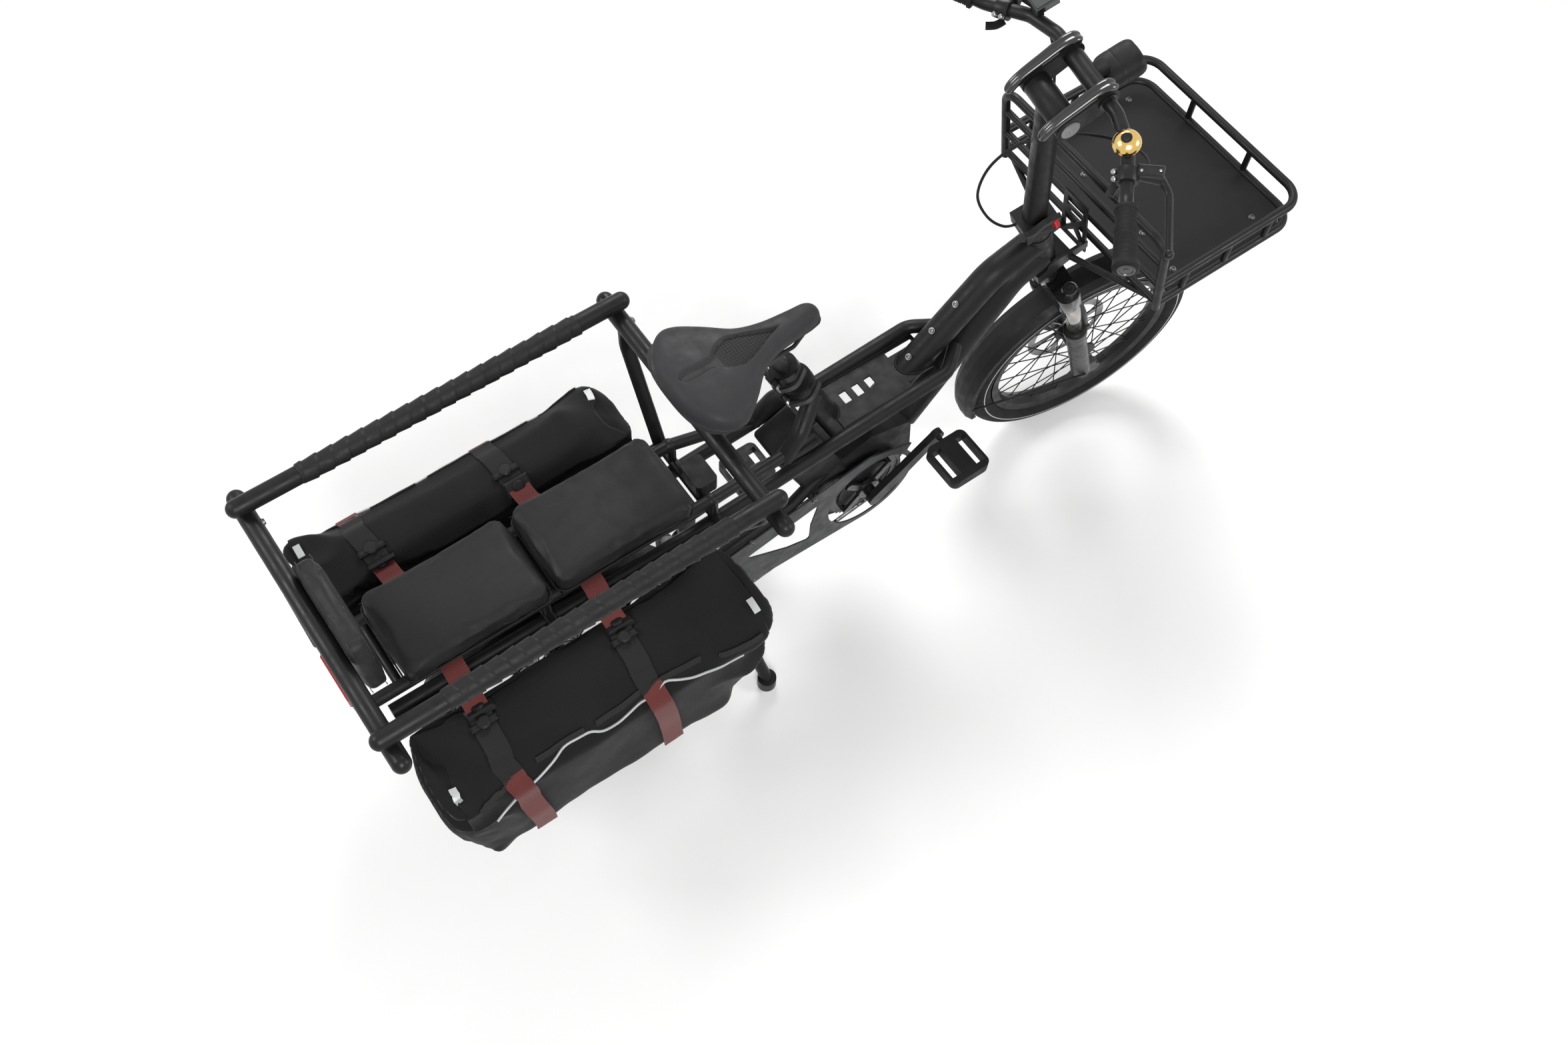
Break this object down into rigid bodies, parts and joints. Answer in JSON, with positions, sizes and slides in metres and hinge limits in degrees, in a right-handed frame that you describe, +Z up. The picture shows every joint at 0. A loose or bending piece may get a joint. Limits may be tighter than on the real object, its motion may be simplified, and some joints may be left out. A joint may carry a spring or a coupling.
{
  "type": "electric cargo bike",
  "caption": "Electric cargo bike with small wheels, passenger rails, padded bench, panniers and a front rack, parked on its centre stand",
  "frame": {"origin": "on the floor at mid length, in the frame's middle plane", "axes": "+X forward, +Y left, +Z up"},
  "size_m": [1.8762, 0.6387, 1.2159],
  "materials": {
    "frame_paint": "satin",
    "black_paint": "satin",
    "dark_alloy": "anodised",
    "steel": "brushed",
    "brass": "polished",
    "black_plastic": "moulded",
    "gloss_plastic": "gloss",
    "tyre_rubber": "moulded",
    "grip_rubber": "moulded",
    "bag_fabric": "woven",
    "pad_cover": "woven",
    "saddle_cover": "matte"
  },
  "bodies": {
    "frame": {"main_tubes": "frame_paint", "side_beams": "frame_paint", "seat_tube": "frame_paint", "rear_rack": "black_paint", "rear_stays": "black_paint", "motor": "black_plastic", "battery": "gloss_plastic", "deck_box": "black_plastic", "chain_guard": "black_plastic", "chain": "steel", "derailleur": "steel", "rear_fender": "black_plastic", "rear_lamp": "gloss_plastic", "side_rails": "black_paint", "crossbars": "black_paint", "uprights": "black_paint", "rail_wraps": "pad_cover", "seat_pads": "pad_cover", "backrest": "pad_cover", "pannier_left": "bag_fabric", "pannier_right": "bag_fabric", "front_rack": "black_paint", "rack_tray": "black_paint", "rack_brackets": "black_paint"},
    "steering": {"fork_upper": "black_paint", "fork_lowers": "black_paint", "front_caliper": "dark_alloy", "front_fender": "black_plastic", "handlepost": "frame_paint", "stem_arms": "dark_alloy", "handlebar": "dark_alloy", "grips": "grip_rubber", "brake_levers": "dark_alloy", "bell": "brass", "display": "gloss_plastic", "headlamp": "gloss_plastic", "control_cables": "black_plastic"},
    "front_wheel": {"front_tyre": "tyre_rubber", "front_rim": "black_paint", "front_disc": "steel"},
    "rear_wheel": {"rear_tyre": "tyre_rubber", "rear_rim": "black_paint", "rear_disc": "steel", "cassette": "steel"},
    "crank": {"crank": "dark_alloy", "chainring": "steel"},
    "pedal_right": {"pedal_right": "black_plastic"},
    "pedal_left": {"pedal_left": "black_plastic"},
    "stand": {"stand": "black_paint"},
    "saddle": {"saddle": "saddle_cover", "seatpost": "dark_alloy"}
  },
  "joints": [
    {"name": "steering", "type": "hinge", "parent": "frame", "child": "steering", "pos_m": [0.64282, 0, 0.24416], "axis": [-0.3256, 0, 0.9455], "range_deg": [-41.5, 58.5]},
    {"name": "front_wheel_spin", "type": "hinge", "parent": "steering", "child": "front_wheel", "pos_m": [0.68256, -0.00628, 0.25785], "axis": [0.1398, 0.989, 0.0481], "continuous": true},
    {"name": "rear_wheel_spin", "type": "hinge", "parent": "frame", "child": "rear_wheel", "pos_m": [-0.567, 0, 0.258], "axis": [0, 1, 0], "continuous": true},
    {"name": "crank_spin", "type": "hinge", "parent": "frame", "child": "crank", "pos_m": [0.097, 0, 0.305], "axis": [0, 1, 0], "continuous": true},
    {"name": "pedal_right_spin", "type": "hinge", "parent": "crank", "child": "pedal_right", "pos_m": [0.23096, -0.15, 0.40966], "axis": [0, 1, 0], "continuous": true},
    {"name": "pedal_left_spin", "type": "hinge", "parent": "crank", "child": "pedal_left", "pos_m": [-0.03696, 0.15, 0.20034], "axis": [0, 1, 0], "continuous": true},
    {"name": "stand_fold", "type": "hinge", "parent": "frame", "child": "stand", "pos_m": [-0.24, 0, 0.24], "axis": [0, 1, 0], "range_deg": [0, 85]},
    {"name": "saddle_height", "type": "slide", "parent": "frame", "child": "saddle", "axis": [-0.3946, 0, 0.9188], "range_m": [-0.03, 0.08]}
  ]
}
